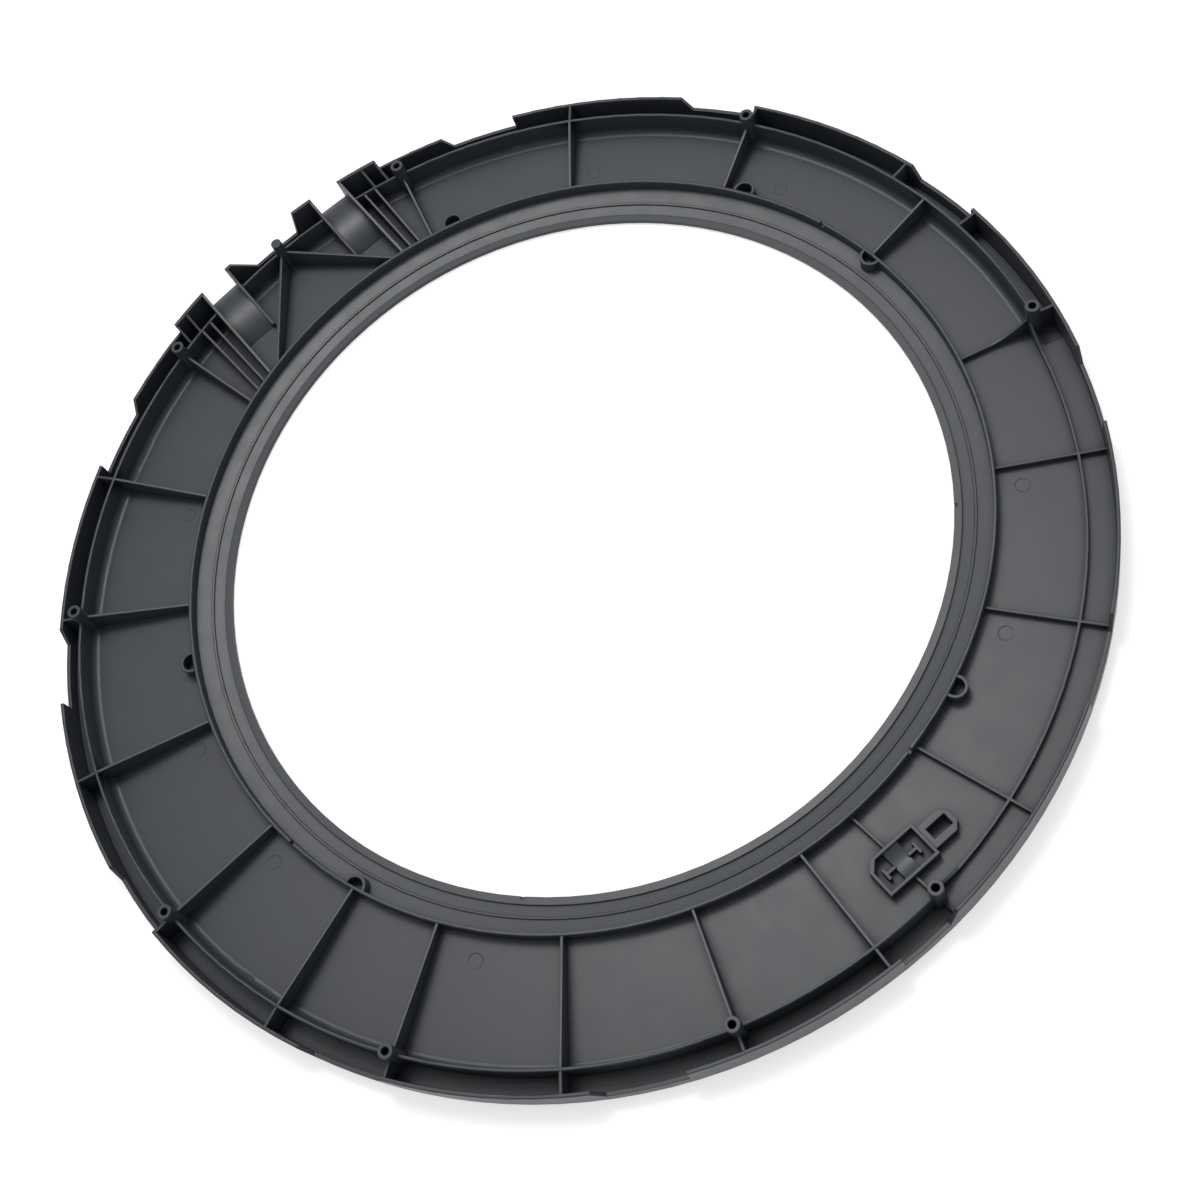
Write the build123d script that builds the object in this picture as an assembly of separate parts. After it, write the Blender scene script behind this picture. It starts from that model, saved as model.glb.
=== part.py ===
from build123d import *
import math
import os

# Inner door frame of a front-loading washing machine, one injection moulding.
# It lies on its smooth front face with the ribbed back upwards. Millimetres.
# The origin is on the table, on the axis of the outer rim.
# The hinge is on the -X side and the latch on the +X side.
# The opening for the door glass is set off from the rim's axis, mostly towards +Y.

# Outer rim: an outer wall and a second wall with a channel between them
RIM_RADIUS = 226.5
WALL_HEIGHT = 15.5
RIM_WALL = 1.6
CHANNEL_WIDTH = 7.95
SECOND_WALL = 1.3
CHANNEL_FLOOR = 2.0
RIM_EDGE_ROUND = 2.0
WALL_TOP_ROUND = 0.4
FOOT_ROUND = 3.0

# Front panel between the rim and the lip
PANEL_RECESS = 1.5
PANEL_THICKNESS = 2.5

# Opening for the door glass, its lip and its collar
OPENING_RADIUS = 157.5
OPENING_SHIFT_X = -2.1
OPENING_SHIFT_Y = 10.4
LIP_EDGE_HEIGHT = 2.6
LIP_EDGE_WIDTH = 3.2
LIP_EDGE_STEP = 0.7
LIP_ROUND = 0.8
BEAD_OFFSET = 8.0
BEAD_WIDTH = 1.0
BEAD_HEIGHT = 0.6
LEDGE_WIDTH = 15.6
LEDGE_HEIGHT = 5.0
COLLAR_WALL = 1.4
COLLAR_HEIGHT = 10.3
LIP_NOTCH_ANGLES = (48.0, 314.0)
LIP_NOTCH_WIDTH = 1.6
LIP_NOTCH_DEPTH = 1.2
COLLAR_SLIT_ANGLES = (10.9, 100.6, 279.6)
COLLAR_SLIT_WIDTH = 2.0
COLLAR_SLIT_DEPTH = 2.4

# Gaps in the outer wall, which leave a row of tall tabs
GAP_COUNT = 12
GAP_ANGLE = 8.0
GAP_PHASE = 0.8
GAP_HEIGHT = 8.3
LATCH_GAP_TRIM = 2.4
TAB_SLANT = 4.5
END_WALL = 1.1
END_WALL_ANGLES = (86.3, 96.7)

# Radial ribs, by their angle about the rim's axis
RIB_WALL = 1.1
PLAIN_RIB_ANGLES = (139.6, 216.2, 254.6, 322.9, 355.6)
BOSS_RIB_ANGLES = (116.6, 234.5, 275.0, 305.3, 340.4)
POST_RIB_ANGLES = (91.8, 291.5)
LOW_RIB_ANGLES = (15.5, 35.6, 54.9)
LATCH_RIB_ANGLE = 3.5
GUSSET_RIB_ANGLE = 71.6
LOW_RIB_HEIGHT = 6.8
GUSSET_LENGTH = 18.0
LOW_WALL_INSET = 2.1
LOW_WALL_RAMP = 13.0
RAMP_HOLLOW = 0.6
DEEP_END = 9.0
EMBED = 0.4

# Screw bosses on the second wall, at some of the ribs and on both sides of the hinge
HINGE_BOSS_ANGLE = 18.0
BOSS_HEIGHT = 21.5
BOSS_DIAMETER = 6.0
BOSS_HOLE_DIAMETER = 3.2
BOSS_HOLE_DEPTH = 14.0

# Half-round hollow posts at the collar, some by their angle about the opening's axis
OUTER_POST_ANGLES = (20.9, 114.4, 160.7, 246.2)
POST_RADIUS = 4.8
POST_SHIFT = 1.0
POST_WALL = 1.2

# Round ejector marks on the panel, by their angle about the rim's axis
MARK_ANGLES = (33.1, 52.4, 109.8, 136.8, 218.8, 257.0, 278.3, 311.0)
MARK_DIAMETER = 6.0
MARK_DEPTH = 0.15
MARK_REACH = 10.0

# Hinge side
HINGE_PITCH = 67.4
POCKET_WIDTH = 15.0
POCKET_LENGTH = 34.0
POCKET_RIM_HEIGHT = 7.2
POCKET_CREST = 12.5
POCKET_SHELL = 2.0
POCKET_WALL = 1.3
HINGE_TAB_HEIGHT = 21.0
HINGE_LOW_HALF = 12.2
HINGE_STEEP_RAMP = 3.0
HINGE_LONG_RAMP = 10.5
HINGE_OUTER_TAB = 20.0
HINGE_CROSS_WALL = 12.5
VEE_SPREAD = 37.0
FAN_OUTER = (47.5, 53.0)
FAN_INNER = (46.5, 51.0)
FAN_BOSS_INNER = 57.0
PIN_DIAMETER = 5.0

# Latch side: a walled box with a hollow seat, and a smaller block around a slot
LATCH_OFFSET = 3.1
LATCH_Y = 12.8
LATCH_BOX_LENGTH = 24.0
LATCH_BOX_DEPTH = 15.4
LATCH_BOX_HEIGHT = 9.0
LATCH_WALL = 1.3
LATCH_CHAMFER = 3.6
SEAT_LENGTH = 7.0
SEAT_RADIUS = 12.0
SEAT_DEPTH = 2.2
STUB_LENGTH = 4.0
STUB_BAR = 5.0
STUB_WALL = 1.2
STUB_HEIGHT = 3.0
SLOT_BLOCK_LENGTH = 13.4
SLOT_BLOCK_DEPTH = 11.0
SLOT_BLOCK_HEIGHT = 8.2
SLOT_LENGTH = 9.0
SLOT_WIDTH = 5.0
SLOT_FLOOR = 0.8

# Places that follow from the sizes
PANEL_TOP = PANEL_RECESS + PANEL_THICKNESS
RIM_INSIDE = RIM_RADIUS - RIM_WALL
RIM_MIDDLE = RIM_RADIUS - RIM_WALL / 2
SECOND_OUTSIDE = RIM_INSIDE - CHANNEL_WIDTH
SECOND_INSIDE = SECOND_OUTSIDE - SECOND_WALL
SECOND_MIDDLE = SECOND_INSIDE + SECOND_WALL / 2
CHANNEL_MIDDLE = SECOND_OUTSIDE + CHANNEL_WIDTH / 2
COLLAR_INSIDE = OPENING_RADIUS + LEDGE_WIDTH
COLLAR_OUTSIDE = COLLAR_INSIDE + COLLAR_WALL
COLLAR_MIDDLE = COLLAR_INSIDE + COLLAR_WALL / 2
WALL_EDGE = WALL_HEIGHT - WALL_TOP_ROUND
COLLAR_EDGE = COLLAR_HEIGHT - WALL_TOP_ROUND
CLEAR_TOP = 2 * max(BOSS_HEIGHT, HINGE_TAB_HEIGHT, WALL_HEIGHT)
OPENING_AXIS = Vector(OPENING_SHIFT_X, OPENING_SHIFT_Y)
LATCH_COLLAR_X = OPENING_SHIFT_X + math.sqrt(COLLAR_OUTSIDE**2 - (LATCH_Y - OPENING_SHIFT_Y)**2)
LATCH_WALL_X = math.sqrt(SECOND_INSIDE**2 - LATCH_Y**2)
LATCH_X = (LATCH_COLLAR_X + LATCH_WALL_X) / 2 + LATCH_OFFSET
POCKET_MIDDLE = HINGE_PITCH / 2
POCKET_NEAR = POCKET_MIDDLE - POCKET_WIDTH / 2
POCKET_FAR = POCKET_MIDDLE + POCKET_WIDTH / 2
HINGE_TAB_END = POCKET_FAR + HINGE_OUTER_TAB
TALL_RIB_ANGLES = PLAIN_RIB_ANGLES + BOSS_RIB_ANGLES + POST_RIB_ANGLES
BOSS_ANGLES = BOSS_RIB_ANGLES + (LATCH_RIB_ANGLE, GUSSET_RIB_ANGLE,
                                 180 - HINGE_BOSS_ANGLE, 180 + HINGE_BOSS_ANGLE)
QUARTER = 1 - math.sqrt(0.5)


def direction(angle):
    """Unit vector in the plane of the table at an angle in degrees."""
    return Vector(math.cos(math.radians(angle)), math.sin(math.radians(angle)))


def reach_to_circle(angle, radius):
    """Distance from the rim's axis, along an angle, to a circle about the opening's axis."""
    along = OPENING_AXIS.dot(direction(angle))
    return along + math.sqrt(along**2 - OPENING_AXIS.length**2 + radius**2)


def turned(edges):
    """Solid of revolution about Z from the edges of a closed profile in radius and height."""
    return revolve(Plane.XZ * make_face(edges), Axis.Z)


def column(radius, low, high):
    """Upright cylinder on the origin between two heights."""
    return Pos(0, 0, low) * Cylinder(radius, high - low, align=(Align.CENTER, Align.CENTER, Align.MIN))


def block(x_low, x_high, y_low, y_high, z_low, z_high):
    """Box between two corners."""
    size = (x_high - x_low, y_high - y_low, z_high - z_low)
    return Pos(x_low, y_low, z_low) * Box(*size, align=(Align.MIN, Align.MIN, Align.MIN))


def standing(edges, thickness):
    """Upright plate in the XZ plane, thickened to both sides."""
    return extrude(Plane.XZ * make_face(edges), thickness / 2, both=True)


def radial_plate(points, angle, thickness):
    """Upright plate on the ray at an angle, from a side profile of radius and height."""
    return Rot(0, 0, angle) * standing(Polyline(*points, close=True), thickness)


def wall_between(start, end, start_top, end_top, low, thickness):
    """Upright wall between two points of the table, with a straight sloping top."""
    run = Vector(*end) - Vector(*start)
    side = Polyline((0, low), (run.length, low), (run.length, end_top), (0, start_top), close=True)
    heading = math.degrees(math.atan2(run.Y, run.X))
    return Pos(*start) * Rot(0, 0, heading) * standing(side, thickness)


def ring_sector(inner, outer, start, end, low, high):
    """Part of a plain ring between two angles."""
    section = Pos((inner + outer) / 2, (low + high) / 2) * Rectangle(outer - inner, high - low)
    return Rot(0, 0, start) * revolve(Plane.XZ * section, Axis.Z, end - start)


def round_top(inner, outer, top):
    """Edges that close the top of a wall, from its outer face over to its inner face."""
    bend = WALL_TOP_ROUND
    corner = bend * QUARTER
    return [
        ThreePointArc((outer, top - bend), (outer - corner, top - corner), (outer - bend, top)),
        Line((outer - bend, top), (inner + bend, top)),
        ThreePointArc((inner + bend, top), (inner + corner, top - corner), (inner, top - bend)),
    ]


def rim_ring():
    """Outer wall, channel and second wall, with the rounded front edge."""
    edge = RIM_EDGE_ROUND
    foot = FOOT_ROUND
    start = SECOND_INSIDE - foot - EMBED
    front = SECOND_INSIDE - EMBED
    return turned([
        Polyline((start, PANEL_RECESS), (front, PANEL_RECESS),
                 (front + PANEL_RECESS, 0), (RIM_RADIUS - edge, 0)),
        ThreePointArc((RIM_RADIUS - edge, 0), (RIM_RADIUS - edge * QUARTER, edge * QUARTER),
                      (RIM_RADIUS, edge)),
        Line((RIM_RADIUS, edge), (RIM_RADIUS, WALL_EDGE)),
        *round_top(RIM_INSIDE, RIM_RADIUS, WALL_HEIGHT),
        Polyline((RIM_INSIDE, WALL_EDGE), (RIM_INSIDE, CHANNEL_FLOOR),
                 (SECOND_OUTSIDE, CHANNEL_FLOOR), (SECOND_OUTSIDE, WALL_EDGE)),
        *round_top(SECOND_INSIDE, SECOND_OUTSIDE, WALL_HEIGHT),
        Line((SECOND_INSIDE, WALL_EDGE), (SECOND_INSIDE, PANEL_TOP + foot)),
        ThreePointArc((SECOND_INSIDE, PANEL_TOP + foot),
                      (SECOND_INSIDE - foot * QUARTER, PANEL_TOP + foot * QUARTER),
                      (SECOND_INSIDE - foot, PANEL_TOP)),
        Polyline((SECOND_INSIDE - foot, PANEL_TOP), (start, PANEL_TOP), (start, PANEL_RECESS)),
    ])


def panel_plate():
    """Flat panel between the collar and the second wall."""
    hole = Pos(*OPENING_AXIS) * column(COLLAR_MIDDLE, 0, CLEAR_TOP)
    return column(SECOND_INSIDE - EMBED, PANEL_RECESS, PANEL_TOP) - hole


def lip_ring():
    """Lip of the opening, sloping ledge with its bead, and the collar."""
    edge = LIP_ROUND
    step_out = OPENING_RADIUS + LIP_EDGE_WIDTH
    ledge_low = LIP_EDGE_HEIGHT - LIP_EDGE_STEP
    slope = (LEDGE_HEIGHT - ledge_low) / (COLLAR_INSIDE - step_out)
    bead_in = OPENING_RADIUS + BEAD_OFFSET
    bead_out = bead_in + BEAD_WIDTH
    bead_in_low = ledge_low + slope * (bead_in - step_out)
    bead_out_low = ledge_low + slope * (bead_out - step_out)
    end = COLLAR_OUTSIDE + EMBED
    ring = turned([
        ThreePointArc((OPENING_RADIUS, edge), (OPENING_RADIUS + edge * QUARTER, edge * QUARTER),
                      (OPENING_RADIUS + edge, 0)),
        Polyline((OPENING_RADIUS + edge, 0), (bead_in, 0), (COLLAR_INSIDE, PANEL_RECESS),
                 (end, PANEL_RECESS), (end, PANEL_TOP), (COLLAR_OUTSIDE, PANEL_TOP),
                 (COLLAR_OUTSIDE, COLLAR_EDGE)),
        *round_top(COLLAR_INSIDE, COLLAR_OUTSIDE, COLLAR_HEIGHT),
        Polyline((COLLAR_INSIDE, COLLAR_EDGE), (COLLAR_INSIDE, LEDGE_HEIGHT),
                 (bead_out, bead_out_low), (bead_out, bead_out_low + BEAD_HEIGHT),
                 (bead_in, bead_in_low + BEAD_HEIGHT), (bead_in, bead_in_low),
                 (step_out, ledge_low), (step_out, LIP_EDGE_HEIGHT),
                 (OPENING_RADIUS, LIP_EDGE_HEIGHT), (OPENING_RADIUS, edge)),
    ])
    return Pos(*OPENING_AXIS) * ring


def gap_edges():
    """Start and end angle of each gap in the outer wall, without the one at the hinge."""
    step = 360 / GAP_COUNT
    for number in range(GAP_COUNT):
        if number != GAP_COUNT // 2:
            middle = number * step + GAP_PHASE
            trim = 0 if number else LATCH_GAP_TRIM
            yield middle - GAP_ANGLE / 2, middle + GAP_ANGLE / 2 - trim


def channel_wall(angle, thickness):
    """Short wall across the channel."""
    low = CHANNEL_FLOOR - EMBED
    points = [(SECOND_MIDDLE, low), (RIM_MIDDLE, low), (RIM_MIDDLE, WALL_EDGE), (SECOND_MIDDLE, WALL_EDGE)]
    return radial_plate(points, angle, thickness)


def crossing_angles():
    """Angles of the tall ribs that run on across the channel, outside the gaps."""
    for angle in TALL_RIB_ANGLES + (GUSSET_RIB_ANGLE,):
        if not any(start < angle < end for start, end in gap_edges()):
            yield angle


def tall_rib(angle):
    """Rib that falls from the second wall's top to the collar's top."""
    inner = reach_to_circle(angle, COLLAR_OUTSIDE)
    foot = reach_to_circle(angle, COLLAR_MIDDLE)
    low = PANEL_TOP - EMBED
    points = [(foot, low), (SECOND_MIDDLE, low), (SECOND_MIDDLE, WALL_EDGE), (SECOND_INSIDE, WALL_EDGE),
              (inner, COLLAR_EDGE), (foot, COLLAR_EDGE)]
    return radial_plate(points, angle, RIB_WALL)


def low_rib(angle, outer):
    """Low rib of the latch side, from the collar to an outer radius."""
    foot = reach_to_circle(angle, COLLAR_MIDDLE)
    low = PANEL_TOP - EMBED
    points = [(foot, low), (outer, low), (outer, LOW_RIB_HEIGHT), (foot, LOW_RIB_HEIGHT)]
    return radial_plate(points, angle, RIB_WALL)


def hollow_curve(start, end):
    """Arc of a hollow ramp, flattest at its start and steepest at its end."""
    run = RAMP_HOLLOW
    middle = (start[0] + (end[0] - start[0]) * run, start[1] + (end[1] - start[1]) * (1 - run))
    return ThreePointArc(start, middle, end)


def gusset_rib(angle):
    """Low rib whose outer end sweeps up to the screw boss in a hollow curve."""
    start = SECOND_INSIDE - GUSSET_LENGTH
    low = PANEL_TOP - EMBED
    outline = [
        Polyline((SECOND_INSIDE, WALL_EDGE), (SECOND_MIDDLE, WALL_EDGE), (SECOND_MIDDLE, low),
                 (start, low), (start, LOW_RIB_HEIGHT)),
        hollow_curve((start, LOW_RIB_HEIGHT), (SECOND_INSIDE, WALL_EDGE)),
    ]
    gusset = Rot(0, 0, angle) * standing(outline, RIB_WALL)
    opening = Pos(*OPENING_AXIS) * column(COLLAR_MIDDLE, 0, CLEAR_TOP)
    return low_rib(angle, SECOND_MIDDLE) + (gusset - opening)


def second_wall_cut():
    """What is taken off the second wall on the latch side, where a low wall takes its place."""
    return ring_sector(SECOND_INSIDE - FOOT_ROUND - EMBED, SECOND_OUTSIDE + EMBED, LATCH_RIB_ANGLE,
                       GUSSET_RIB_ANGLE, PANEL_TOP, CLEAR_TOP)


def low_wall():
    """Low wall of the latch side, inside the second wall's line, with a hollow ramp up to each boss."""
    inner = SECOND_MIDDLE - LOW_WALL_INSET - RIB_WALL / 2
    outer = inner + RIB_WALL
    turn = math.degrees(math.atan2(LOW_WALL_RAMP, inner))
    wall = ring_sector(inner, outer, LATCH_RIB_ANGLE, GUSSET_RIB_ANGLE, PANEL_TOP - EMBED, WALL_EDGE)
    wall -= ring_sector(inner - RIB_WALL, outer + RIB_WALL, LATCH_RIB_ANGLE + turn,
                        GUSSET_RIB_ANGLE - turn, LOW_RIB_HEIGHT, CLEAR_TOP)
    for angle, side in ((LATCH_RIB_ANGLE, 1), (GUSSET_RIB_ANGLE, -1)):
        past = side * (LOW_WALL_RAMP + EMBED)
        above = [
            Polyline((0, WALL_HEIGHT), (0, CLEAR_TOP), (past, CLEAR_TOP),
                     (past, LOW_RIB_HEIGHT), (side * LOW_WALL_RAMP, LOW_RIB_HEIGHT)),
            hollow_curve((side * LOW_WALL_RAMP, LOW_RIB_HEIGHT), (0, WALL_HEIGHT)),
        ]
        slab = extrude(Plane.YZ * make_face(above), 3 * RIB_WALL)
        wall -= Rot(0, 0, angle) * Pos(inner - RIB_WALL, 0, 0) * slab
    return wall


def raised_channel():
    """Higher floor of the channel on the latch side."""
    turn = math.degrees(math.atan2(DEEP_END, SECOND_MIDDLE))
    return ring_sector(SECOND_MIDDLE, RIM_MIDDLE, LATCH_RIB_ANGLE, GUSSET_RIB_ANGLE - turn,
                       CHANNEL_FLOOR - EMBED, PANEL_TOP)


def post_tube(centre, low):
    """Hollow round post, up to the collar's top."""
    tube = column(POST_RADIUS, low, COLLAR_EDGE) - column(POST_RADIUS - POST_WALL, low, COLLAR_EDGE)
    return Pos(*centre) * tube


def collar_posts():
    """Half-round hollow posts on the outside of the collar, and on its inside at two ribs."""
    inside = Pos(*OPENING_AXIS) * column(COLLAR_MIDDLE, 0, CLEAR_TOP)
    for angle in OUTER_POST_ANGLES:
        centre = OPENING_AXIS + direction(angle) * (COLLAR_OUTSIDE + POST_SHIFT)
        yield post_tube(centre, PANEL_TOP - EMBED) - inside
    for angle in POST_RIB_ANGLES:
        centre = direction(angle) * reach_to_circle(angle, COLLAR_INSIDE)
        yield post_tube(centre, PANEL_RECESS + COLLAR_WALL - EMBED) & inside


def hinge_point(y, radius):
    """Point of a circle about the rim's axis, on the hinge side, at a value of y."""
    return -math.sqrt(radius**2 - y**2), y


def collar_point(y):
    """Point in the middle of the collar's wall, on the hinge side, at a value of y."""
    return OPENING_SHIFT_X - math.sqrt(COLLAR_MIDDLE**2 - (y - OPENING_SHIFT_Y)**2), y


def hinge_wall():
    """Outer wall along the hinge: low in the middle and at the pockets, with tall tabs between."""
    halves = []
    for ramp in (HINGE_STEEP_RAMP, HINGE_LONG_RAMP):
        halves.append([(HINGE_LOW_HALF, GAP_HEIGHT), (HINGE_LOW_HALF + ramp, HINGE_TAB_HEIGHT),
                       (POCKET_NEAR, HINGE_TAB_HEIGHT), (POCKET_NEAR, POCKET_RIM_HEIGHT),
                       (POCKET_FAR, POCKET_RIM_HEIGHT), (POCKET_FAR, HINGE_TAB_HEIGHT),
                       (HINGE_TAB_END, HINGE_TAB_HEIGHT), (HINGE_TAB_END, PANEL_TOP - EMBED)])
    mirrored = [(-y, z) for y, z in reversed(halves[1])]
    section = Plane.YZ * make_face(Polyline(*mirrored, *halves[0], close=True))
    ring = column(RIM_RADIUS, 0, CLEAR_TOP) - column(RIM_INSIDE, 0, CLEAR_TOP)
    return extrude(section, -2 * RIM_RADIUS) & ring


def pocket_arch(side, offset, low):
    """Arched block of a hinge pocket, or its hollow when moved inwards by an offset."""
    start = -RIM_RADIUS + offset
    end = -RIM_RADIUS + POCKET_LENGTH - offset
    foot = PANEL_TOP - EMBED
    outline = [
        Polyline((end, foot), (end, low), (start, low), (start, POCKET_RIM_HEIGHT - offset)),
        ThreePointArc((start, POCKET_RIM_HEIGHT - offset), ((start + end) / 2, POCKET_CREST - offset),
                      (end, foot)),
    ]
    return Pos(0, side * POCKET_MIDDLE, 0) * standing(outline, POCKET_WIDTH)


def hinge_walls(side):
    """Side walls of a pocket, half of the vee and the fan of ribs, on one side of the hinge."""
    low = PANEL_TOP - EMBED
    near_y = side * (POCKET_NEAR - POCKET_WALL / 2)
    far_y = side * (POCKET_FAR + POCKET_WALL / 2)
    pocket_end = (-RIM_RADIUS + POCKET_LENGTH, near_y)
    boss_y = side * SECOND_MIDDLE * math.sin(math.radians(HINGE_BOSS_ANGLE))
    walls = [
        wall_between(hinge_point(near_y, RIM_MIDDLE), pocket_end, HINGE_TAB_HEIGHT, LOW_RIB_HEIGHT,
                     low, POCKET_WALL),
        wall_between(hinge_point(far_y, RIM_MIDDLE), collar_point(far_y), HINGE_TAB_HEIGHT, COLLAR_EDGE,
                     low, POCKET_WALL),
        wall_between(hinge_point(0, SECOND_MIDDLE), collar_point(side * VEE_SPREAD), WALL_EDGE,
                     COLLAR_EDGE, low, RIB_WALL),
        wall_between(hinge_point(boss_y, SECOND_MIDDLE), collar_point(side * FAN_BOSS_INNER), WALL_EDGE,
                     COLLAR_EDGE, low, RIB_WALL),
    ]
    for outer_y, inner_y in zip(FAN_OUTER, FAN_INNER):
        start = hinge_point(side * outer_y, SECOND_MIDDLE)
        end = collar_point(side * inner_y)
        walls.append(wall_between(start, end, WALL_EDGE, COLLAR_EDGE, low, RIB_WALL))
    for y in (POCKET_FAR + HINGE_CROSS_WALL, HINGE_TAB_END - END_WALL / 2):
        start = hinge_point(side * y, SECOND_MIDDLE)
        end = hinge_point(side * y, RIM_MIDDLE)
        walls.append(wall_between(start, end, WALL_EDGE, HINGE_TAB_HEIGHT, CHANNEL_FLOOR - EMBED, END_WALL))
    return walls


def latch_outline(inset):
    """Outline of the latch box, with its chamfered corner, moved inwards by an inset."""
    x_low = LATCH_X - LATCH_BOX_DEPTH / 2 + inset
    x_high = LATCH_X + LATCH_BOX_DEPTH / 2 - inset
    y_low = LATCH_Y - LATCH_BOX_LENGTH / 2 + inset
    y_high = LATCH_Y + LATCH_BOX_LENGTH / 2 - inset
    return make_face(Polyline((x_low, y_low + LATCH_CHAMFER), (x_low + LATCH_CHAMFER, y_low),
                              (x_high, y_low), (x_high, y_high), (x_low, y_high), close=True))


def slot_outline():
    """Outline of the block around the slot, with two chamfered corners at its free end."""
    x_low = LATCH_X - SLOT_BLOCK_DEPTH / 2
    x_high = LATCH_X + SLOT_BLOCK_DEPTH / 2
    y_low = LATCH_Y + LATCH_BOX_LENGTH / 2 - LATCH_WALL / 2
    y_high = LATCH_Y + LATCH_BOX_LENGTH / 2 + SLOT_BLOCK_LENGTH
    corner = (SLOT_BLOCK_DEPTH - SLOT_WIDTH) / 2
    return make_face(Polyline((x_low, y_low), (x_high, y_low), (x_high, y_high - corner),
                              (x_high - corner, y_high), (x_low + corner, y_high),
                              (x_low, y_high - corner), close=True))


def raised(face, low, high):
    """Upright block of a flat outline between two heights."""
    return Pos(0, 0, low) * extrude(face, high - low)


def latch_parts():
    """Walls of the latch box, the slot block, the hollow seat and the stub ribs."""
    low = PANEL_TOP - EMBED
    top = PANEL_TOP + STUB_HEIGHT
    half_depth = LATCH_BOX_DEPTH / 2 - LATCH_WALL / 2
    half_seat = SEAT_LENGTH / 2
    seat_top = LATCH_BOX_HEIGHT - LATCH_WALL / 2
    box = raised(latch_outline(0), low, LATCH_BOX_HEIGHT)
    room = raised(latch_outline(LATCH_WALL), low, LATCH_BOX_HEIGHT)
    seat = block(LATCH_X - half_depth, LATCH_X + half_depth, LATCH_Y - half_seat, LATCH_Y + half_seat,
                 low, seat_top)
    roller = Rot(90, 0, 0) * Cylinder(SEAT_RADIUS, 2 * SEAT_LENGTH)
    seat -= Pos(LATCH_X, LATCH_Y, seat_top - SEAT_DEPTH + SEAT_RADIUS) * roller
    parts = [box - room, seat, raised(slot_outline(), low, SLOT_BLOCK_HEIGHT)]
    for side in (-1, 1):
        root = (LATCH_X, LATCH_Y + side * (half_seat - EMBED))
        tip = (LATCH_X, LATCH_Y + side * (half_seat + STUB_LENGTH))
        bar_start = (LATCH_X - STUB_BAR / 2, tip[1])
        bar_end = (LATCH_X + STUB_BAR / 2, tip[1])
        parts.append(wall_between(root, tip, top, top, low, STUB_WALL))
        parts.append(wall_between(bar_start, bar_end, top, top, low, STUB_WALL))
    return parts


def boss_places():
    """Places of the screw bosses on the second wall."""
    for angle in BOSS_ANGLES:
        yield direction(angle) * SECOND_MIDDLE


def hinge_cuts():
    """Room taken out of the rim for the hinge's own outer wall and its pockets."""
    outside = RIM_RADIUS + RIM_WALL
    channel_end = hinge_point(HINGE_TAB_END, SECOND_OUTSIDE)[0]
    pocket_end = -RIM_RADIUS + POCKET_LENGTH
    wall_room = block(-outside, channel_end, -HINGE_TAB_END, HINGE_TAB_END, PANEL_TOP, CLEAR_TOP)
    cuts = [wall_room - column(SECOND_OUTSIDE, 0, CLEAR_TOP)]
    for y_low, y_high in ((POCKET_NEAR, POCKET_FAR), (-POCKET_FAR, -POCKET_NEAR)):
        cuts.append(block(-outside, pocket_end, y_low, y_high, PANEL_TOP, CLEAR_TOP))
    return cuts


def gap_cuts():
    """What is taken off the outer wall to leave its tabs, slanted at the side nearer the hinge."""
    outside = RIM_RADIUS + RIM_WALL
    for start, end in gap_edges():
        yield ring_sector(CHANNEL_MIDDLE, outside, start, end, GAP_HEIGHT, CLEAR_TOP)
        angle, side = (end, 1) if end < 180 else (start, -1)
        slant = Polyline((-side * EMBED, GAP_HEIGHT), (0, GAP_HEIGHT), (side * TAB_SLANT, WALL_HEIGHT),
                         (side * TAB_SLANT, CLEAR_TOP), (-side * EMBED, CLEAR_TOP), close=True)
        wedge = extrude(Plane.YZ * make_face(slant), outside - CHANNEL_MIDDLE)
        yield Rot(0, 0, angle) * Pos(CHANNEL_MIDDLE, 0, 0) * wedge


def added_parts():
    """Everything that stands on the panel or in the channel, without the latch."""
    yield raised_channel()
    yield low_wall()
    for angle in TALL_RIB_ANGLES:
        yield tall_rib(angle)
    for angle in LOW_RIB_ANGLES:
        yield low_rib(angle, RIM_MIDDLE)
    yield low_rib(LATCH_RIB_ANGLE, SECOND_MIDDLE)
    yield gusset_rib(GUSSET_RIB_ANGLE)
    for angle in crossing_angles():
        yield channel_wall(angle, RIB_WALL)
    for angle in END_WALL_ANGLES:
        yield channel_wall(angle, END_WALL)
    yield from collar_posts()
    for place in boss_places():
        yield Pos(*place) * column(BOSS_DIAMETER / 2, CHANNEL_FLOOR - EMBED, BOSS_HEIGHT)
    yield Pos(*hinge_point(0, SECOND_MIDDLE)) * column(PIN_DIAMETER / 2, PANEL_TOP - EMBED, BOSS_HEIGHT)
    yield hinge_wall()
    for side in (-1, 1):
        yield from hinge_walls(side)
        yield pocket_arch(side, 0, PANEL_RECESS) & column(RIM_RADIUS, 0, CLEAR_TOP)


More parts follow.
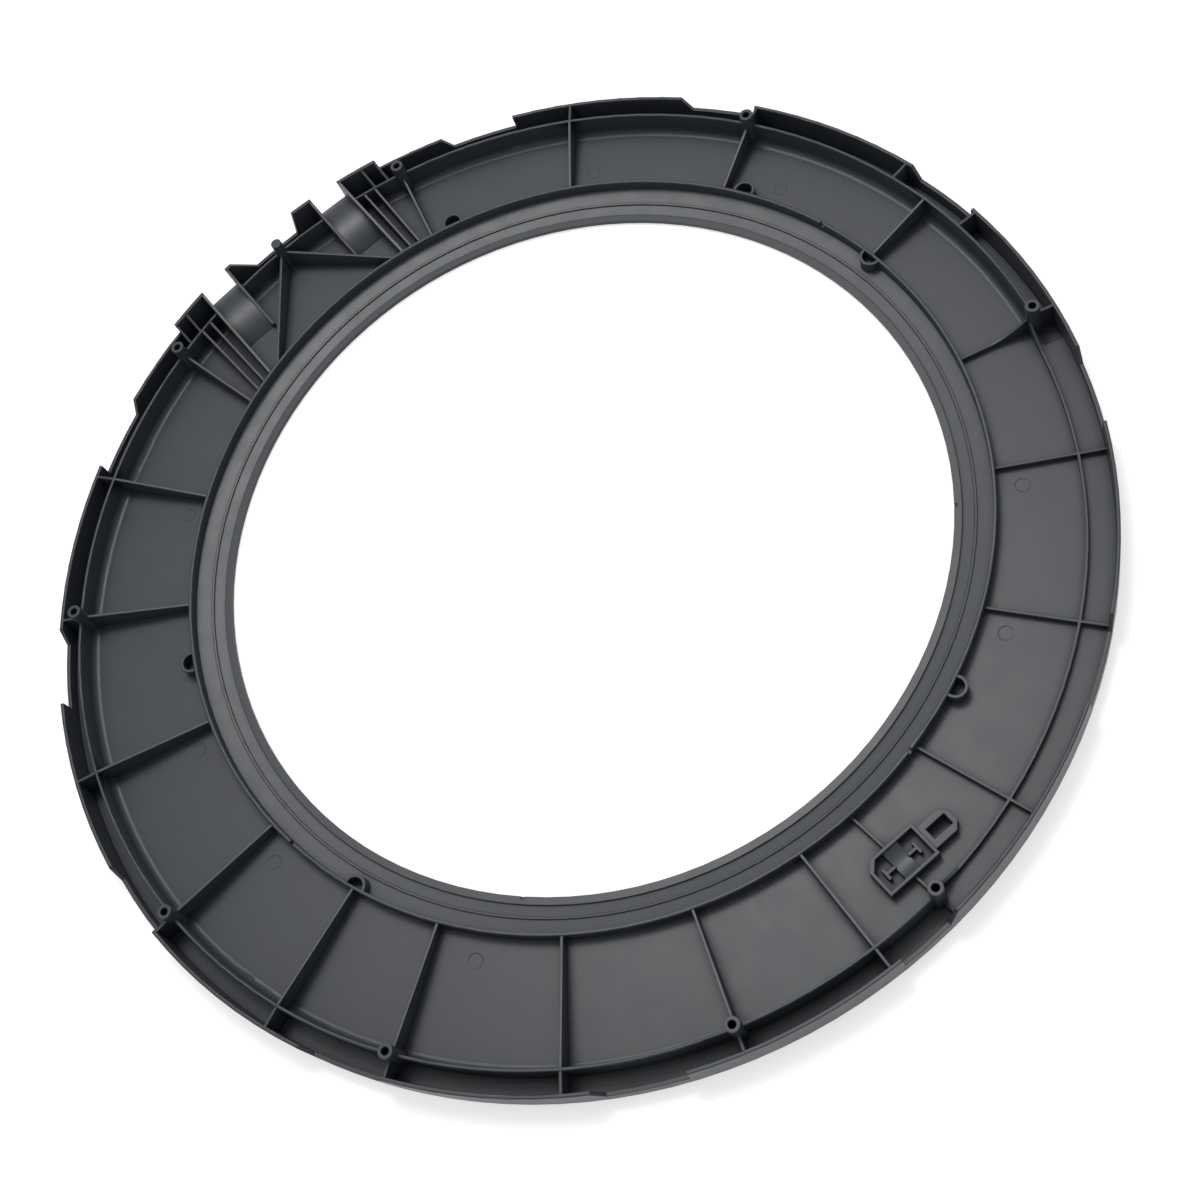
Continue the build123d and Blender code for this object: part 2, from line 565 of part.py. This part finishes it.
def hole_cuts():
    """Screw holes, pocket hollows, the latch slot, and the small notches and marks."""
    for place in boss_places():
        yield Pos(*place) * column(BOSS_HOLE_DIAMETER / 2, BOSS_HEIGHT - BOSS_HOLE_DEPTH, CLEAR_TOP)
    for side in (-1, 1):
        yield pocket_arch(side, POCKET_SHELL, -PANEL_RECESS) & column(RIM_INSIDE, -CLEAR_TOP, CLEAR_TOP)
    slot_y = LATCH_Y + LATCH_BOX_LENGTH / 2 + SLOT_BLOCK_LENGTH / 2
    yield block(LATCH_X - SLOT_WIDTH / 2, LATCH_X + SLOT_WIDTH / 2, slot_y - SLOT_LENGTH / 2,
                slot_y + SLOT_LENGTH / 2, PANEL_RECESS + SLOT_FLOOR, CLEAR_TOP)
    notch_low = LIP_EDGE_HEIGHT - LIP_EDGE_STEP
    notch = block(OPENING_RADIUS - LIP_NOTCH_DEPTH, OPENING_RADIUS + LIP_NOTCH_DEPTH,
                  -LIP_NOTCH_WIDTH / 2, LIP_NOTCH_WIDTH / 2, notch_low, CLEAR_TOP)
    for angle in LIP_NOTCH_ANGLES:
        yield Pos(*OPENING_AXIS) * Rot(0, 0, angle) * notch
    slit = block(COLLAR_INSIDE - EMBED, COLLAR_OUTSIDE + EMBED, -COLLAR_SLIT_WIDTH / 2,
                 COLLAR_SLIT_WIDTH / 2, COLLAR_HEIGHT - COLLAR_SLIT_DEPTH, CLEAR_TOP)
    for angle in COLLAR_SLIT_ANGLES:
        yield Pos(*OPENING_AXIS) * Rot(0, 0, angle) * slit
    for angle in MARK_ANGLES:
        place = direction(angle) * reach_to_circle(angle, COLLAR_OUTSIDE + MARK_REACH)
        yield Pos(*place) * column(MARK_DIAMETER / 2, PANEL_TOP - MARK_DEPTH, CLEAR_TOP)


def build_frame():
    """The whole moulding as one solid."""
    rim = rim_ring() - [*gap_cuts(), second_wall_cut(), *hinge_cuts()]
    body = rim + [panel_plate(), lip_ring(), *added_parts()]
    body = body - raised(latch_outline(0), PANEL_TOP, CLEAR_TOP) + latch_parts()
    return body - list(hole_cuts())


os.makedirs("parts", exist_ok=True)
export_step(build_frame().solid(), "parts/inner_door_frame.step")
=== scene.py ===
import logging
from dataclasses import dataclass, field
from enum import Enum
from typing import Optional, Union

import bpy
from mathutils import Matrix, Vector


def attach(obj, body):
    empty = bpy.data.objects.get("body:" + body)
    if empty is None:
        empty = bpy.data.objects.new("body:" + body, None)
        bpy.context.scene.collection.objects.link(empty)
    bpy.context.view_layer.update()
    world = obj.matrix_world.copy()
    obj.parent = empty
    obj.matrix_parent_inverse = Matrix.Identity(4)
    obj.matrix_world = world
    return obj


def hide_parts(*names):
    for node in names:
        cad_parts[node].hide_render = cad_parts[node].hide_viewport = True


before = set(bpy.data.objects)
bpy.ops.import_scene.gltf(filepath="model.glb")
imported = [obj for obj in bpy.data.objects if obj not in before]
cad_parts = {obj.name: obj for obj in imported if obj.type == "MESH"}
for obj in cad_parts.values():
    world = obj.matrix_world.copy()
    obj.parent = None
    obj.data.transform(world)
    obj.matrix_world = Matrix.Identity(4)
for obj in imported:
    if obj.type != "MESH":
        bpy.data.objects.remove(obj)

LOG = logging.getLogger("inner_door_frame")
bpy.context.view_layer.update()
MIX_SHARE, MIX_FIRST, MIX_SECOND, MIX_RESULT = 0, 6, 7, 2
SCALE_FACTOR = 3
COLOUR_PARTS = 3

Colour = tuple[float, float, float]
SocketValue = Union[float, Colour, tuple[float, float, float, float], bpy.types.NodeSocket]


class Side(Enum):
    """The two sides of the moulding, each with its own finish."""

    BACK = 0
    FRONT = 1


class Socket(Enum):
    """Kinds of sockets that the shared effects have."""

    VALUE = "NodeSocketFloat"
    VECTOR = "NodeSocketVector"


@dataclass(frozen=True)
class Span:
    """Two ends of a range of values."""

    start: float
    end: float


NOISE_SPAN = Span(0.3, 0.7)
FULL_SPAN = Span(0.0, 1.0)
FALLING_SPAN = Span(1.0, 0.0)


class Sheet:
    """Places nodes in one node tree and joins them."""

    def __init__(self, tree: bpy.types.NodeTree) -> None:
        """Starts on an empty tree.

        Args:
            tree: The node tree of a material, a world or a group.
        """
        self.tree = tree
        self.tree.nodes.clear()

    def add(self, kind: str, sockets: Optional[dict[Union[str, int], SocketValue]] = None,
            **settings: object) -> bpy.types.Node:
        """Adds a node, sets its properties, and sets or joins its inputs.

        Args:
            kind: The node's type name.
            sockets: Input values by socket name or number. A socket as a value is joined.
            **settings: The node's own properties.

        Returns:
            The new node.
        """
        node = self.tree.nodes.new(kind)
        for name, value in settings.items():
            setattr(node, name, value)
        for name, value in (sockets or {}).items():
            target = node.inputs[name]
            if isinstance(value, bpy.types.NodeSocket):
                self.tree.links.new(value, target)
            elif isinstance(value, tuple) and len(value) == COLOUR_PARTS and target.type == "RGBA":
                target.default_value = (*value, 1.0)
            else:
                target.default_value = value
        return node

    def maths(self, operation: str, *values: SocketValue, clamp: bool = False) -> bpy.types.NodeSocket:
        """Adds one step of arithmetic.

        Args:
            operation: The name of the operation.
            *values: The values that it takes, in order.
            clamp: Whether the result is kept between 0 and 1.

        Returns:
            The socket that holds the result.
        """
        node = self.add("ShaderNodeMath", dict(enumerate(values)), operation=operation, use_clamp=clamp)
        return node.outputs[0]

    def spread(self, value: bpy.types.NodeSocket, source: Span,
               target: Span = FULL_SPAN) -> bpy.types.NodeSocket:
        """Maps a range of values to another one, with soft ends.

        Args:
            value: The socket to read.
            source: The range that is read.
            target: The range that it becomes.

        Returns:
            The socket that holds the result.
        """
        node = self.add("ShaderNodeMapRange", {"Value": value, "From Min": source.start,
                                               "From Max": source.end, "To Min": target.start,
                                               "To Max": target.end},
                        interpolation_type="SMOOTHSTEP")
        return node.outputs["Result"]

    def blend(self, share: SocketValue, first: SocketValue, second: SocketValue) -> bpy.types.NodeSocket:
        """Mixes two colours.

        Args:
            share: How much of the second colour there is.
            first: The first colour.
            second: The second colour.

        Returns:
            The socket that holds the mixed colour.
        """
        sockets = {MIX_SHARE: share, MIX_FIRST: first, MIX_SECOND: second}
        node = self.add("ShaderNodeMix", data_type="RGBA")
        for number, value in sockets.items():
            if isinstance(value, bpy.types.NodeSocket):
                self.tree.links.new(value, node.inputs[number])
            else:
                node.inputs[number].default_value = value if number == MIX_SHARE else (*value, 1.0)
        return node.outputs[MIX_RESULT]


@dataclass
class GroupPlan:
    """Name and sockets of a shared effect."""

    name: str
    inputs: dict[str, float]
    outputs: dict[str, Socket]

    def open(self) -> tuple[bpy.types.NodeTree, Sheet, bpy.types.Node, bpy.types.Node]:
        """Makes the empty group.

        Returns:
            The group, a sheet on it, its input node and its output node.
        """
        tree = bpy.data.node_groups.new(self.name, "ShaderNodeTree")
        sheet = Sheet(tree)
        for name, value in self.inputs.items():
            socket = tree.interface.new_socket(name, in_out="INPUT", socket_type=Socket.VALUE.value)
            socket.default_value = value
        for name, kind in self.outputs.items():
            tree.interface.new_socket(name, in_out="OUTPUT", socket_type=kind.value)
        return tree, sheet, sheet.add("NodeGroupInput"), sheet.add("NodeGroupOutput")


@dataclass(frozen=True)
class MouldGrain:
    """Fine texture left by the mould's surface."""

    scale: float = 1400.0
    fine_detail: float = 2.0
    fine_roughness: float = 0.6
    coarse_ratio: float = 0.06
    coarse_detail: float = 3.0
    coarse_share: float = 0.5

    def build(self) -> bpy.types.NodeTree:
        """Makes the shared group.

        Returns:
            A group that gives a height and a tone.
        """
        plan = GroupPlan("mould_grain", {"Scale": self.scale},
                         {"Height": Socket.VALUE, "Tone": Socket.VALUE})
        tree, sheet, given, result = plan.open()
        place = sheet.add("ShaderNodeTexCoord").outputs["Object"]
        fine = sheet.add("ShaderNodeTexNoise", {"Vector": place, "Scale": given.outputs["Scale"],
                                                "Detail": self.fine_detail,
                                                "Roughness": self.fine_roughness})
        coarse_scale = sheet.maths("MULTIPLY", given.outputs["Scale"], self.coarse_ratio)
        coarse = sheet.add("ShaderNodeTexNoise", {"Vector": place, "Scale": coarse_scale,
                                                  "Detail": self.coarse_detail})
        height = sheet.maths("MULTIPLY_ADD", coarse.outputs["Fac"], self.coarse_share, fine.outputs["Fac"])
        tree.links.new(height, result.inputs["Height"])
        tree.links.new(coarse.outputs["Fac"], result.inputs["Tone"])
        return tree


@dataclass(frozen=True)
class CreaseShade:
    """Painted shade: darker corners where walls meet the panel, found by an occlusion mask."""

    reach: float = 0.006
    samples: int = 8
    openness: Span = Span(0.35, 0.95)

    def build(self) -> bpy.types.NodeTree:
        """Makes the shared group.

        Returns:
            A group that gives a mask, 1 in the deepest corners.
        """
        plan = GroupPlan("crease_shade", {"Reach": self.reach}, {"Mask": Socket.VALUE})
        tree, sheet, given, result = plan.open()
        open_sky = sheet.add("ShaderNodeAmbientOcclusion", {"Distance": given.outputs["Reach"]},
                             samples=self.samples)
        mask = sheet.spread(open_sky.outputs["AO"], self.openness, FALLING_SPAN)
        tree.links.new(mask, result.inputs["Mask"])
        return tree


@dataclass(frozen=True)
class EdgeRubAndHighlight:
    """Rounded edges with a lighter line: painted highlight and rubbed wear, broken where handled."""

    width: float = 0.0005
    samples: int = 6
    turn: Span = Span(0.80, 0.99)
    break_scale: float = 60.0
    break_detail: float = 4.0
    break_span: Span = Span(0.35, 0.65)
    kept_share: Span = Span(0.35, 1.0)

    def build(self) -> bpy.types.NodeTree:
        """Makes the shared group.

        Returns:
            A group that gives the rounded normal and a mask, 1 on the edges.
        """
        plan = GroupPlan("edge_rub_and_highlight", {"Width": self.width, "Break": self.break_scale},
                         {"Normal": Socket.VECTOR, "Mask": Socket.VALUE})
        tree, sheet, given, result = plan.open()
        rounded = sheet.add("ShaderNodeBevel", {"Radius": given.outputs["Width"]}, samples=self.samples)
        plain = sheet.add("ShaderNodeNewGeometry").outputs["Normal"]
        turn = sheet.add("ShaderNodeVectorMath", {0: rounded.outputs["Normal"], 1: plain},
                         operation="DOT_PRODUCT")
        # Mask for the lighter edge line, a painted highlight that also stands for rubbed wear.
        line = sheet.spread(turn.outputs["Value"], self.turn, FALLING_SPAN)
        place = sheet.add("ShaderNodeTexCoord").outputs["Object"]
        broken = sheet.add("ShaderNodeTexNoise", {"Vector": place, "Scale": given.outputs["Break"],
                                                  "Detail": self.break_detail})
        share = sheet.spread(broken.outputs["Fac"], self.break_span, self.kept_share)
        tree.links.new(rounded.outputs["Normal"], result.inputs["Normal"])
        tree.links.new(sheet.maths("MULTIPLY", line, share), result.inputs["Mask"])
        return tree


@dataclass(frozen=True)
class FlowMarks:
    """Broad tones and faint radial streaks, as the melt ran outwards in the mould."""

    streak_scale: float = 70.0
    streak_detail: float = 2.0
    streak_share: float = 0.12
    broad_scale: float = 7.0
    broad_detail: float = 3.0
    broad_distortion: float = 0.4

    def build(self) -> bpy.types.NodeTree:
        """Makes the shared group.

        Returns:
            A group that gives a tone from 0 to 1.
        """
        plan = GroupPlan("flow_marks", {"Streaks": self.streak_scale, "Broad": self.broad_scale},
                         {"Tone": Socket.VALUE})
        tree, sheet, given, result = plan.open()
        place = sheet.add("ShaderNodeTexCoord").outputs["Object"]
        split = sheet.add("ShaderNodeSeparateXYZ", {0: place})
        flat = sheet.add("ShaderNodeCombineXYZ", {"X": split.outputs["X"], "Y": split.outputs["Y"]})
        ray = sheet.add("ShaderNodeVectorMath", {0: flat.outputs[0]}, operation="NORMALIZE")
        streaks = sheet.add("ShaderNodeTexNoise", {"Vector": ray.outputs[0],
                                                   "Scale": given.outputs["Streaks"],
                                                   "Detail": self.streak_detail})
        broad = sheet.add("ShaderNodeTexNoise", {"Vector": place, "Scale": given.outputs["Broad"],
                                                 "Detail": self.broad_detail,
                                                 "Distortion": self.broad_distortion})
        wide = sheet.maths("MULTIPLY", broad.outputs["Fac"], 1.0 - self.streak_share)
        tone = sheet.maths("MULTIPLY_ADD", streaks.outputs["Fac"], self.streak_share, wide)
        tree.links.new(tone, result.inputs["Tone"])
        return tree


@dataclass(frozen=True)
class HandlingScuffs:
    """Sparse pale rubs and short fine scratches from handling."""

    patch_scale: float = 9.0
    patch_detail: float = 2.0
    patch_span: Span = Span(0.60, 0.72)
    scratch_turn: tuple[float, float, float] = (0.0, 0.0, 0.5)
    scratch_stretch: tuple[float, float, float] = (40.0, 900.0, 60.0)
    scratch_detail: float = 1.0
    scratch_span: Span = Span(0.56, 0.70)

    def build(self) -> bpy.types.NodeTree:
        """Makes the shared group.

        Returns:
            A group that gives a mask, 1 in the scuffs.
        """
        plan = GroupPlan("handling_scuffs", {"Scale": self.patch_scale, "Amount": 1.0},
                         {"Mask": Socket.VALUE})
        tree, sheet, given, result = plan.open()
        place = sheet.add("ShaderNodeTexCoord").outputs["Object"]
        patch = sheet.add("ShaderNodeTexNoise", {"Vector": place, "Scale": given.outputs["Scale"],
                                                 "Detail": self.patch_detail})
        where = sheet.spread(patch.outputs["Fac"], self.patch_span)
        lines = sheet.add("ShaderNodeMapping", {"Vector": place, "Rotation": self.scratch_turn,
                                                "Scale": self.scratch_stretch})
        scratch = sheet.add("ShaderNodeTexNoise", {"Vector": lines.outputs[0], "Scale": 1.0,
                                                   "Detail": self.scratch_detail})
        marks = sheet.spread(scratch.outputs["Fac"], self.scratch_span)
        mask = sheet.maths("MULTIPLY", where, marks)
        scaled = sheet.maths("MULTIPLY", mask, given.outputs["Amount"], clamp=True)
        tree.links.new(scaled, result.inputs["Mask"])
        return tree


class Effects:
    """The shared effects, each built once as a node group."""

    def __init__(self) -> None:
        """Builds all the groups."""
        self.grain = MouldGrain().build()
        # Painted shade in creases and corners, found by an occlusion mask.
        self.painted_crease_shade = CreaseShade().build()
        # Rounded edges, and a painted edge highlight that also stands for rubbed wear.
        self.edge = EdgeRubAndHighlight().build()
        self.flow = FlowMarks().build()
        self.scuffs = HandlingScuffs().build()


@dataclass(frozen=True)
class PlasticFinish:
    """One finish of the moulded plastic."""

    name: str
    base: Colour
    # Dark colour of the painted shade in creases and corners.
    painted_crease_shade: Colour
    # Pale colour for the painted edge highlight and for the real handling scuffs.
    rub_and_highlight: Colour
    roughness: float
    gloss_level: float
    # Share of the gloss taken away in creases, as painted shade on the reflection.
    painted_shade_gloss_loss: float
    grain_scale: float
    grain_depth: float
    # How much the painted edge highlight lightens the edges.
    edge_highlight_share: float
    # How much painted shade is mixed in at the deepest corners.
    painted_shade_share: float
    tone_share: float
    scuff_amount: float
    fleck_share: float = 0.03
    scuff_tint: float = 0.5
    scuff_roughness: float = 0.12
    satin_change: float = 0.02
    grain_strength: float = 0.35
    ior: float = 1.49

    @staticmethod
    def around(middle: float, change: float) -> Span:
        """The range that reaches equally far to both sides of a value."""
        return Span(middle - change, middle + change)

    def build(self, effects: Effects) -> bpy.types.Material:
        """Makes the material.

        Args:
            effects: The shared effects.

        Returns:
            The finished material.
        """
        material = bpy.data.materials.new(self.name)
        material.use_nodes = True
        sheet = Sheet(material.node_tree)
        grain = sheet.add("ShaderNodeGroup", node_tree=effects.grain)
        grain.inputs["Scale"].default_value = self.grain_scale
        painted_crease_shade = sheet.add("ShaderNodeGroup", node_tree=effects.painted_crease_shade)
        edge = sheet.add("ShaderNodeGroup", node_tree=effects.edge)
        flow = sheet.add("ShaderNodeGroup", node_tree=effects.flow)
        scuffs = sheet.add("ShaderNodeGroup", node_tree=effects.scuffs)
        scuffs.inputs["Amount"].default_value = self.scuff_amount
        toned = sheet.spread(flow.outputs["Tone"], NOISE_SPAN, self.around(1.0, self.tone_share))
        fleck = sheet.spread(grain.outputs["Tone"], NOISE_SPAN, self.around(1.0, self.fleck_share))
        level = sheet.maths("MULTIPLY", toned, fleck)
        base = sheet.add("ShaderNodeVectorMath", {0: self.base, SCALE_FACTOR: level},
                         operation="SCALE").outputs[0]
        # Painted shade: the dark crease colour is mixed in where the occlusion mask finds corners.
        painted_shade = sheet.maths("MULTIPLY", painted_crease_shade.outputs["Mask"], self.painted_shade_share)
        colour = sheet.blend(painted_shade, base, self.painted_crease_shade)
        # Painted highlight along edges, partly rubbed wear: the edge mask lightens the colour.
        painted_edge_highlight = sheet.maths("MULTIPLY", edge.outputs["Mask"], self.edge_highlight_share)
        colour = sheet.blend(painted_edge_highlight, colour, self.rub_and_highlight)
        rub = sheet.maths("MULTIPLY", scuffs.outputs["Mask"], self.scuff_tint)
        colour = sheet.blend(rub, colour, self.rub_and_highlight)
        satin_span = self.around(self.roughness, self.satin_change)
        satin = sheet.spread(grain.outputs["Tone"], NOISE_SPAN, satin_span)
        rough = sheet.maths("MULTIPLY_ADD", scuffs.outputs["Mask"], self.scuff_roughness, satin)
        # Painted shade on the reflection: the gloss level drops where the occlusion mask finds creases.
        painted_shade_gloss_drop = -self.painted_shade_gloss_loss * self.gloss_level
        gloss = sheet.maths("MULTIPLY_ADD", painted_crease_shade.outputs["Mask"], painted_shade_gloss_drop, self.gloss_level)
        height = sheet.add("ShaderNodeBump", {"Height": grain.outputs["Height"],
                                              "Strength": self.grain_strength,
                                              "Distance": self.grain_depth,
                                              "Normal": edge.outputs["Normal"]})
        skin = sheet.add("ShaderNodeBsdfPrincipled", {"Base Color": colour, "Normal": height.outputs[0],
                                                      "Roughness": rough, "IOR": self.ior,
                                                      "Specular IOR Level": gloss})
        out = sheet.add("ShaderNodeOutputMaterial", {"Surface": skin.outputs[0]})
        out.is_active_output = True
        return material


BACK_FINISH = PlasticFinish(
    name="frame_plastic_back", base=(0.039, 0.0455, 0.056), painted_crease_shade=(0.012, 0.014, 0.017),
    rub_and_highlight=(0.15, 0.15, 0.16), roughness=0.41, gloss_level=0.5, painted_shade_gloss_loss=0.5, grain_scale=1500.0,
    grain_depth=0.00003, edge_highlight_share=0.1, painted_shade_share=0.4, tone_share=0.04, scuff_amount=0.3)
FRONT_FINISH = PlasticFinish(
    name="frame_plastic_front", base=(0.040, 0.045, 0.053), painted_crease_shade=(0.012, 0.014, 0.017),
    rub_and_highlight=(0.13, 0.13, 0.14), roughness=0.36, gloss_level=0.5, painted_shade_gloss_loss=0.6, grain_scale=2200.0,
    grain_depth=0.00002, edge_highlight_share=0.08, painted_shade_share=0.3, tone_share=0.03, scuff_amount=0.25)


@dataclass
class DoorFrameMoulding:
    """The whole moulding, in two finishes: the ribbed back and the smooth front."""

    node: str = "inner_door_frame"
    name: str = "frame_moulding"
    slot: str = "frame_plastic"
    front_height: float = 0.0026
    front_tilt: float = -0.3
    piece: Optional[bpy.types.Object] = field(default=None, init=False)

    def build(self) -> bpy.types.Object:
        """Makes the shown mesh in the place of the CAD node, and sorts its faces by side.

        Returns:
            The new piece.
        """
        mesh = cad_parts[self.node].data.copy()
        mesh.name = self.name
        self.piece = bpy.data.objects.new(self.name, mesh)
        bpy.context.scene.collection.objects.link(self.piece)
        for face in mesh.polygons:
            side = Side.FRONT if self.is_front(face) else Side.BACK
            face.material_index = side.value
        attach(self.piece, "root")
        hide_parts(self.node)
        return self.piece

    def is_front(self, face: bpy.types.MeshPolygon) -> bool:
        """Whether a face is on the smooth front, which lies down on the floor."""
        return face.normal.z < self.front_tilt and face.center.z < self.front_height

    def dress(self, finishes: dict[Side, bpy.types.Material]) -> None:
        """Gives each side its material.

        Args:
            finishes: The material of each side.
        """
        slots = self.piece.data.materials
        slots.clear()
        for side in Side:
            slots.append(finishes[side])


@dataclass
class StudioFloor:
    """Plain white floor that keeps the object's shadow."""

    half_size: float = 6.0
    drop: float = 0.0001
    colour: Colour = (0.60, 0.60, 0.60)
    lift: float = 0.60

    def build(self) -> bpy.types.Object:
        """Lays the floor under the object.

        Returns:
            The floor.
        """
        half = self.half_size
        corners = [(-half, -half, -self.drop), (half, -half, -self.drop),
                   (half, half, -self.drop), (-half, half, -self.drop)]
        mesh = bpy.data.meshes.new("floor")
        mesh.from_pydata(corners, [], [(0, 1, 2, 3)])
        floor = bpy.data.objects.new("floor", mesh)
        bpy.context.scene.collection.objects.link(floor)
        mesh.materials.append(self.material())
        return floor

    def material(self) -> bpy.types.Material:
        """Makes the floor's paint, lifted to white where it is seen.

        Returns:
            The floor's material.
        """
        material = bpy.data.materials.new("floor_white")
        material.use_nodes = True
        sheet = Sheet(material.node_tree)
        path = sheet.add("ShaderNodeLightPath")
        seen = sheet.maths("MAXIMUM", path.outputs["Is Camera Ray"], path.outputs["Is Glossy Ray"])
        seen = sheet.maths("MAXIMUM", seen, path.outputs["Is Transmission Ray"])
        paint = sheet.add("ShaderNodeBsdfDiffuse", {"Color": self.colour})
        glow = sheet.add("ShaderNodeEmission", {"Strength": sheet.maths("MULTIPLY", seen, self.lift)})
        both = sheet.add("ShaderNodeAddShader", {0: paint.outputs[0], 1: glow.outputs[0]})
        sheet.add("ShaderNodeOutputMaterial", {"Surface": both.outputs[0]})
        return material


@dataclass(frozen=True)
class AreaLamp:
    """One soft lamp of the studio."""

    name: str
    place: tuple[float, float, float]
    aim: tuple[float, float, float]
    size: float
    power: float
    colour: Colour = (1.0, 1.0, 1.0)

    def build(self) -> bpy.types.Object:
        """Hangs the lamp and points it.

        Returns:
            The lamp.
        """
        data = bpy.data.lights.new(self.name, "AREA")
        data.shape = "DISK"
        data.size = self.size
        data.energy = self.power
        data.color = self.colour
        lamp = bpy.data.objects.new(self.name, data)
        lamp.location = self.place
        heading = Vector(self.aim) - Vector(self.place)
        lamp.rotation_euler = heading.to_track_quat("-Z", "Y").to_euler()
        bpy.context.scene.collection.objects.link(lamp)
        return lamp


@dataclass
class Studio:
    """Even sky, a broad lamp overhead, a key from the hinge side, and the floor."""

    sky: float = 0.42
    lamps: tuple[AreaLamp, ...] = (
        AreaLamp("broad_lamp", (-0.5, 0.15, 1.7), (0.0, 0.0, 0.0), 1.6, 9.5, (1.0, 0.985, 0.96)),
        AreaLamp("key_lamp", (-0.56, 0.2, 1.58), (0.0, 0.0, 0.0), 0.5, 8.5, (1.0, 0.985, 0.96)))
    floor: StudioFloor = field(default_factory=StudioFloor)

    def build(self) -> None:
        """Sets up the sky, the lamps and the floor."""
        scene = bpy.context.scene
        world = bpy.data.worlds.new("studio")
        world.use_nodes = True
        scene.world = world
        sheet = Sheet(world.node_tree)
        sky = sheet.add("ShaderNodeBackground", {"Color": (1.0, 1.0, 1.0), "Strength": self.sky})
        sheet.add("ShaderNodeOutputWorld", {"Surface": sky.outputs[0]})
        scene.view_settings.view_transform = "Standard"
        for lamp in self.lamps:
            lamp.build()
        self.floor.build()


@dataclass
class PhotoCamera:
    """Camera at the photograph's viewing angle."""

    place: tuple[float, float, float] = (0.35992, -0.05701, 0.62094)
    right: tuple[float, float, float] = (0.605039, 0.754334, -0.254769)
    up: tuple[float, float, float] = (-0.643989, 0.651808, 0.400531)
    back: tuple[float, float, float] = (0.468195, -0.078268, 0.880152)
    lens: float = 51.0
    sensor: float = 36.0
    nearest: float = 0.01

    def build(self) -> bpy.types.Object:
        """Places the camera and makes it the scene's own.

        Returns:
            The camera.
        """
        data = bpy.data.cameras.new("photo_camera")
        data.lens = self.lens
        data.sensor_width = self.sensor
        data.clip_start = self.nearest
        camera = bpy.data.objects.new("photo_camera", data)
        turn = Matrix((self.right, self.up, self.back)).transposed().to_4x4()
        camera.matrix_world = Matrix.Translation(self.place) @ turn
        bpy.context.scene.collection.objects.link(camera)
        bpy.context.scene.camera = camera
        return camera


def main() -> None:
    """Builds, dresses and lights the frame, and reports each piece."""
    logging.basicConfig(level=logging.INFO, format="%(name)s: %(message)s")
    PhotoCamera().build()
    effects = Effects()
    finishes = {Side.BACK: BACK_FINISH.build(effects), Side.FRONT: FRONT_FINISH.build(effects)}
    moulding = DoorFrameMoulding()
    piece = moulding.build()
    moulding.dress(finishes)
    LOG.info("%s: %d faces", piece.name, len(piece.data.polygons))
    Studio().build()


if __name__ == "__main__":
    main()
